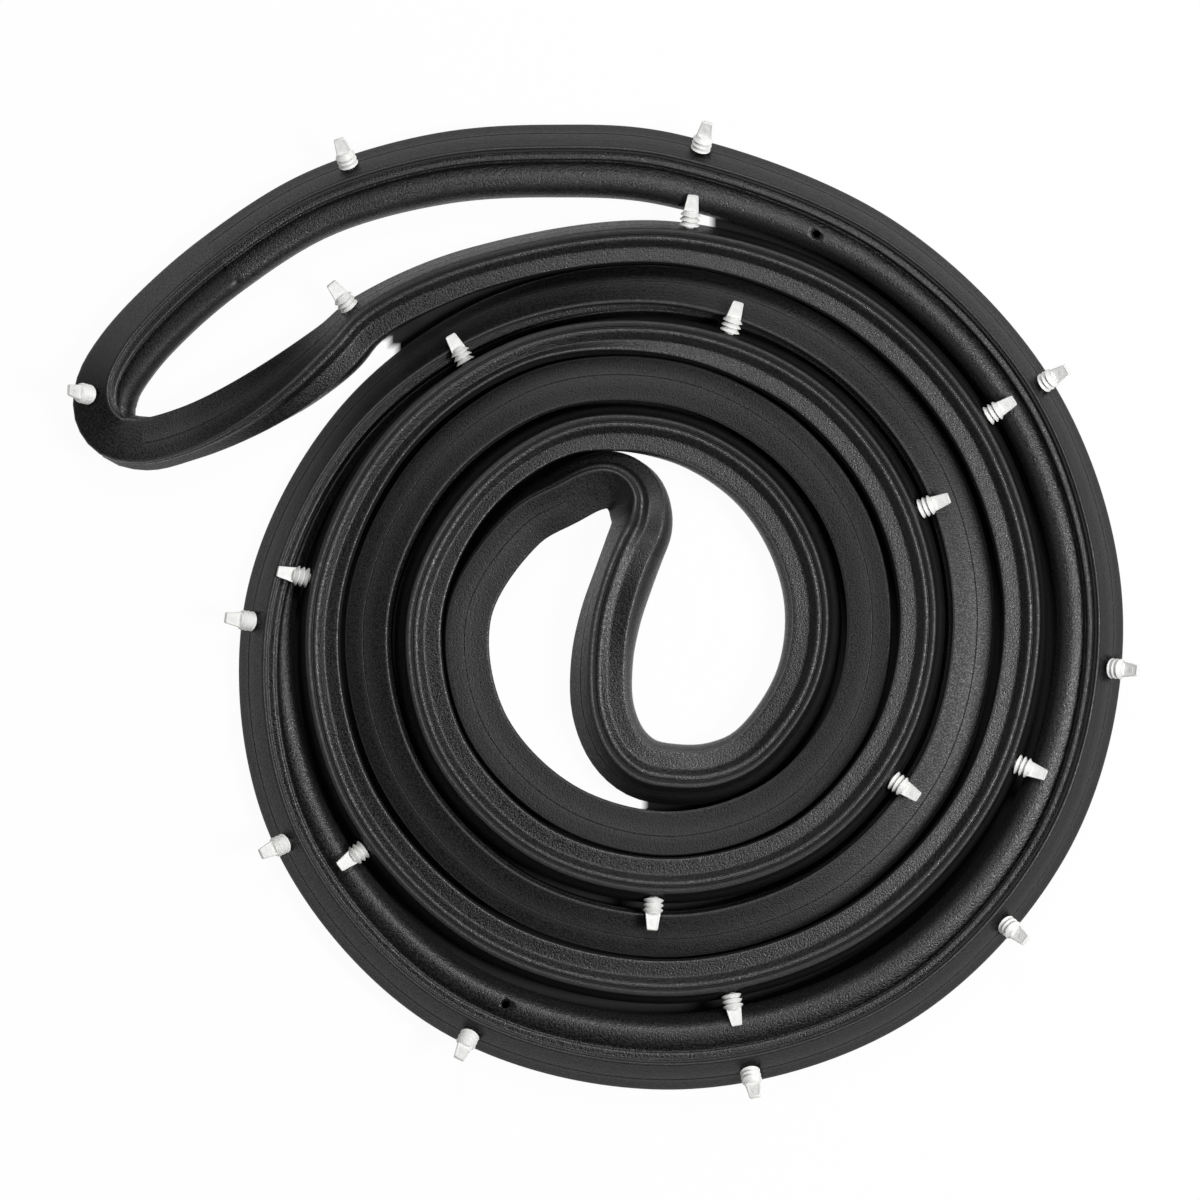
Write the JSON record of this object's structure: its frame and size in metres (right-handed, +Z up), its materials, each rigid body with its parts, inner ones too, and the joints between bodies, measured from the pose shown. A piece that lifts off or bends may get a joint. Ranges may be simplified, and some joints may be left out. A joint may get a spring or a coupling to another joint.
{
  "type": "door weatherstrip seal",
  "caption": "Closed loop of hollow rubber bulb seal for a vehicle door, with two moulded corners and push-in fir-tree clips, wound up into a doubled spiral.",
  "frame": {"origin": "middle of the whole coil's box, on the floor that it lies on", "axes": "+Z up from the floor, the clips of the front strand point up; +X along the longest side of the coil, away from its outer loop"},
  "size_m": [0.4176, 0.3825, 0.0314],
  "materials": {
    "moulded_rubber": "satin moulded, smoother than the extrusion",
    "dense_rubber": "matte with fine lines along the strip",
    "sponge_rubber": "matte with a fine granular skin",
    "nylon": "natural white, slightly translucent"
  },
  "bodies": {
    "strip": {"corner_upper": "moulded_rubber", "corner_lower": "moulded_rubber", "front_base": "dense_rubber", "front_bulb": "sponge_rubber", "rear_base": "dense_rubber", "rear_bulb": "sponge_rubber"},
    "clip_front_01": {"clip_front_01": "nylon"},
    "clip_front_02": {"clip_front_02": "nylon"},
    "clip_front_03": {"clip_front_03": "nylon"},
    "clip_front_04": {"clip_front_04": "nylon"},
    "clip_front_05": {"clip_front_05": "nylon"},
    "clip_front_06": {"clip_front_06": "nylon"},
    "clip_front_07": {"clip_front_07": "nylon"},
    "clip_front_08": {"clip_front_08": "nylon"},
    "clip_front_09": {"clip_front_09": "nylon"},
    "clip_front_10": {"clip_front_10": "nylon"},
    "clip_rear_01": {"clip_rear_01": "nylon"},
    "clip_rear_02": {"clip_rear_02": "nylon"},
    "clip_rear_03": {"clip_rear_03": "nylon"},
    "clip_rear_04": {"clip_rear_04": "nylon"},
    "clip_rear_05": {"clip_rear_05": "nylon"},
    "clip_rear_06": {"clip_rear_06": "nylon"},
    "clip_rear_07": {"clip_rear_07": "nylon"},
    "clip_rear_08": {"clip_rear_08": "nylon"},
    "clip_rear_09": {"clip_rear_09": "nylon"},
    "clip_rear_10": {"clip_rear_10": "nylon"},
    "clip_rear_11": {"clip_rear_11": "nylon"},
    "clip_rear_12": {"clip_rear_12": "nylon"}
  },
  "joints": [
    {"name": "clip_front_01_lean", "type": "hinge", "parent": "strip", "child": "clip_front_01", "pos_m": [-0.13722, -0.00685, 0.01231], "axis": [0.6529, 0.0173, 0.7572], "range_deg": [-8, 8], "stiffness_Nm_per_rad": 0.02},
    {"name": "clip_front_02_lean", "type": "hinge", "parent": "strip", "child": "clip_front_02", "pos_m": [-0.1243, -0.09321, 0.01557], "axis": [0.5569, 0.3855, 0.7357], "range_deg": [-8, 8], "stiffness_Nm_per_rad": 0.02},
    {"name": "clip_front_03_lean", "type": "hinge", "parent": "strip", "child": "clip_front_03", "pos_m": [-0.05116, -0.16688, 0.01783], "axis": [0.2529, 0.64, 0.7255], "range_deg": [-8, 8], "stiffness_Nm_per_rad": 0.02},
    {"name": "clip_front_04_lean", "type": "hinge", "parent": "strip", "child": "clip_front_04", "pos_m": [0.05751, -0.18083, 0.01864], "axis": [-0.1071, 0.6834, 0.7221], "range_deg": [-8, 8], "stiffness_Nm_per_rad": 0.02},
    {"name": "clip_front_05_lean", "type": "hinge", "parent": "strip", "child": "clip_front_05", "pos_m": [0.15679, -0.12464, 0.01805], "axis": [-0.5607, 0.4059, 0.7217], "range_deg": [-8, 8], "stiffness_Nm_per_rad": 0.02},
    {"name": "clip_front_06_lean", "type": "hinge", "parent": "strip", "child": "clip_front_06", "pos_m": [0.19769, -0.02505, 0.01644], "axis": [-0.6745, 0.0747, 0.7345], "range_deg": [-8, 8], "stiffness_Nm_per_rad": 0.02},
    {"name": "clip_front_07_lean", "type": "hinge", "parent": "strip", "child": "clip_front_07", "pos_m": [0.17208, 0.08651, 0.01485], "axis": [-0.4908, -0.3661, 0.7906], "range_deg": [-8, 8], "stiffness_Nm_per_rad": 0.02},
    {"name": "clip_front_08_lean", "type": "hinge", "parent": "strip", "child": "clip_front_08", "pos_m": [0.0387, 0.17775, 0.01655], "axis": [-0.1629, -0.602, 0.7818], "range_deg": [-8, 8], "stiffness_Nm_per_rad": 0.02},
    {"name": "clip_front_09_lean", "type": "hinge", "parent": "strip", "child": "clip_front_09", "pos_m": [-0.0999, 0.17206, 0.01594], "axis": [0.2102, -0.5937, 0.7767], "range_deg": [-8, 8], "stiffness_Nm_per_rad": 0.02},
    {"name": "clip_front_10_lean", "type": "hinge", "parent": "strip", "child": "clip_front_10", "pos_m": [-0.20116, 0.08297, 0.01788], "axis": [0.8976, 0.0868, 0.4321], "range_deg": [-8, 8], "stiffness_Nm_per_rad": 0.02},
    {"name": "clip_rear_01_lean", "type": "hinge", "parent": "strip", "child": "clip_rear_01", "pos_m": [-0.09835, 0.11654, 0.01675], "axis": [-0.3952, 0.3165, -0.8623], "range_deg": [-8, 8], "stiffness_Nm_per_rad": 0.02},
    {"name": "clip_rear_02_lean", "type": "hinge", "parent": "strip", "child": "clip_rear_02", "pos_m": [0.03329, 0.1473, 0.01734], "axis": [0.0731, 0.3016, -0.9506], "range_deg": [-8, 8], "stiffness_Nm_per_rad": 0.02},
    {"name": "clip_rear_03_lean", "type": "hinge", "parent": "strip", "child": "clip_rear_03", "pos_m": [0.14943, 0.07325, 0.01796], "axis": [0.2494, 0.1859, -0.9504], "range_deg": [-8, 8], "stiffness_Nm_per_rad": 0.02},
    {"name": "clip_rear_04_lean", "type": "hinge", "parent": "strip", "child": "clip_rear_04", "pos_m": [0.16032, -0.0614, 0.01733], "axis": [0.2939, -0.1032, -0.9503], "range_deg": [-8, 8], "stiffness_Nm_per_rad": 0.02},
    {"name": "clip_rear_05_lean", "type": "hinge", "parent": "strip", "child": "clip_rear_05", "pos_m": [0.05001, -0.15076, 0.01724], "axis": [0.0506, -0.3073, -0.9503], "range_deg": [-8, 8], "stiffness_Nm_per_rad": 0.02},
    {"name": "clip_rear_06_lean", "type": "hinge", "parent": "strip", "child": "clip_rear_06", "pos_m": [-0.09172, -0.0946, 0.01712], "axis": [-0.2542, -0.1837, -0.9495], "range_deg": [-8, 8], "stiffness_Nm_per_rad": 0.02},
    {"name": "clip_rear_07_lean", "type": "hinge", "parent": "strip", "child": "clip_rear_07", "pos_m": [-0.11353, 0.01006, 0.01767], "axis": [-0.2318, 0.0878, -0.9688], "range_deg": [-8, 8], "stiffness_Nm_per_rad": 0.02},
    {"name": "clip_rear_08_lean", "type": "hinge", "parent": "strip", "child": "clip_rear_08", "pos_m": [-0.05321, 0.09304, 0.01863], "axis": [-0.0552, 0.0772, -0.9955], "range_deg": [-8, 8], "stiffness_Nm_per_rad": 0.02},
    {"name": "clip_rear_09_lean", "type": "hinge", "parent": "strip", "child": "clip_rear_09", "pos_m": [0.04894, 0.10519, 0.01942], "axis": [0.0791, 0.2212, -0.972], "range_deg": [-8, 8], "stiffness_Nm_per_rad": 0.02},
    {"name": "clip_rear_10_lean", "type": "hinge", "parent": "strip", "child": "clip_rear_10", "pos_m": [0.12238, 0.03681, 0.01972], "axis": [0.303, 0.1271, -0.9445], "range_deg": [-8, 8], "stiffness_Nm_per_rad": 0.02},
    {"name": "clip_rear_11_lean", "type": "hinge", "parent": "strip", "child": "clip_rear_11", "pos_m": [0.11174, -0.06767, 0.01877], "axis": [0.273, -0.1817, -0.9447], "range_deg": [-8, 8], "stiffness_Nm_per_rad": 0.02},
    {"name": "clip_rear_12_lean", "type": "hinge", "parent": "strip", "child": "clip_rear_12", "pos_m": [0.01977, -0.11342, 0.0187], "axis": [-0.0381, -0.326, -0.9446], "range_deg": [-8, 8], "stiffness_Nm_per_rad": 0.02}
  ]
}
